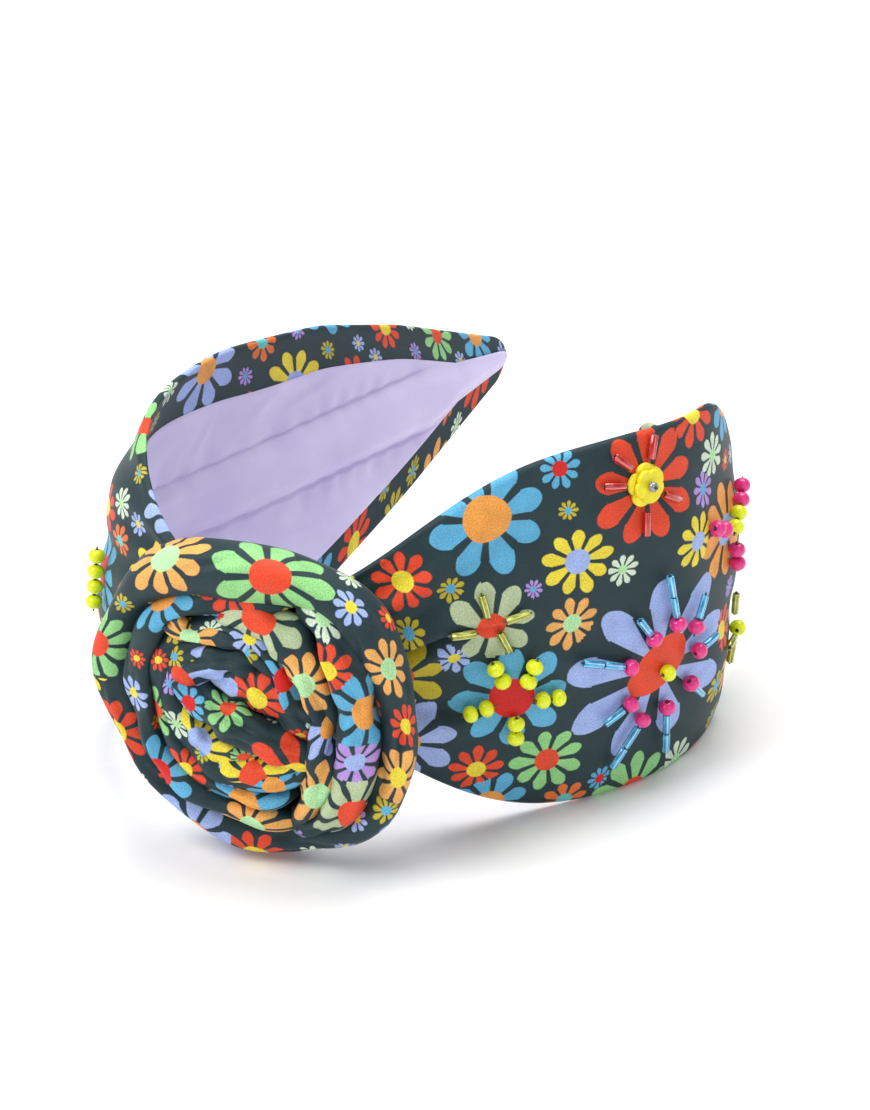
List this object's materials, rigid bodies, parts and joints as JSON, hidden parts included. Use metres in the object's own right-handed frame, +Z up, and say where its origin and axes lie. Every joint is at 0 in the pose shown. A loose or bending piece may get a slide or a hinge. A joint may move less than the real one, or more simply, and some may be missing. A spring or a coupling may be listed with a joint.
{
  "type": "knotted headband",
  "caption": "Wide padded headband on a springy hoop, with a coiled fabric rosette at the crown and beaded printed flowers on one arm; it stands on its lower edge.",
  "frame": {"origin": "middle of the whole object, at the surface that it stands on", "axes": "+Z up, the hoop lies level, the rosette faces -Y, the arms run towards +Y with the near arm on +X"},
  "size_m": [0.1424, 0.1966, 0.091],
  "materials": {
    "print_satin": "satin woven polyester with a bright floral print on a dark grey-green ground",
    "lavender_satin": "pale lavender satin lining",
    "white_foam": "thin soft foam",
    "hoop_plastic": "springy moulded plastic",
    "backing_felt": "stiff felt",
    "yellow_button": "pressed opaque matte yellow",
    "grey_bead": "glossy metallic grey",
    "red_glass": "glossy glass tube beads",
    "olive_glass": "silver-lined glass tube beads",
    "blue_glass": "iridescent blue glass tube beads with pink round beads",
    "neon_beads": "opaque glossy beads",
    "pink_beads": "opaque glossy beads"
  },
  "bodies": {
    "crown": {"crown_cover": "print_satin", "crown_lining": "lavender_satin", "crown_padding": "white_foam", "hoop_core": "hoop_plastic", "rosette_base": "backing_felt", "rosette_heart": "print_satin", "rosette_inner_roll": "print_satin", "rosette_outer_roll": "print_satin", "rosette_second_roll": "print_satin", "rosette_third_roll": "print_satin"},
    "near_arm": {"amber_heart_pair": "neon_beads", "amber_string_1": "pink_beads", "amber_string_2": "pink_beads", "amber_string_3": "pink_beads", "aster_heart_bead": "neon_beads", "aster_string_1": "blue_glass", "aster_string_2": "blue_glass", "aster_string_3": "blue_glass", "aster_string_4": "blue_glass", "aster_string_5": "blue_glass", "aster_string_6": "blue_glass", "aster_string_7": "blue_glass", "aster_string_8": "blue_glass", "aster_string_9": "blue_glass", "button_bugle_1": "red_glass", "button_bugle_2": "red_glass", "button_bugle_3": "red_glass", "button_bugle_4": "red_glass", "button_bugle_5": "red_glass", "button_lower": "yellow_button", "button_seed_bead": "grey_bead", "button_upper": "yellow_button", "near_arm_cover": "print_satin", "near_arm_lining": "lavender_satin", "near_arm_padding": "white_foam", "near_tip_cap": "print_satin", "poppy_heart_bead": "neon_beads", "poppy_string_1": "olive_glass", "poppy_string_2": "olive_glass", "poppy_string_3": "olive_glass", "sage_bugle_1": "olive_glass", "sage_bugle_2": "olive_glass", "sage_bugle_3": "olive_glass", "sage_bugle_4": "olive_glass", "sky_pair_1": "neon_beads", "sky_pair_2": "neon_beads", "sky_pair_3": "neon_beads", "sky_pair_4": "neon_beads", "sky_pair_5": "neon_beads"},
    "far_arm": {"far_arm_cover": "print_satin", "far_arm_lining": "lavender_satin", "far_arm_padding": "white_foam", "far_string": "neon_beads", "far_tip_cap": "print_satin"}
  },
  "joints": [
    {"name": "near_arm_flex", "type": "hinge", "parent": "crown", "child": "near_arm", "pos_m": [0.02373, -0.06384, 0.045], "axis": [0, 0, -1], "range_deg": [-3, 12], "stiffness_Nm_per_rad": 1.4, "deforming": ["hoop_core"]},
    {"name": "far_arm_flex", "type": "hinge", "parent": "crown", "child": "far_arm", "pos_m": [-0.04228, -0.07206, 0.045], "axis": [0, 0, 1], "range_deg": [-3, 12], "stiffness_Nm_per_rad": 1.4, "deforming": ["hoop_core"]}
  ]
}
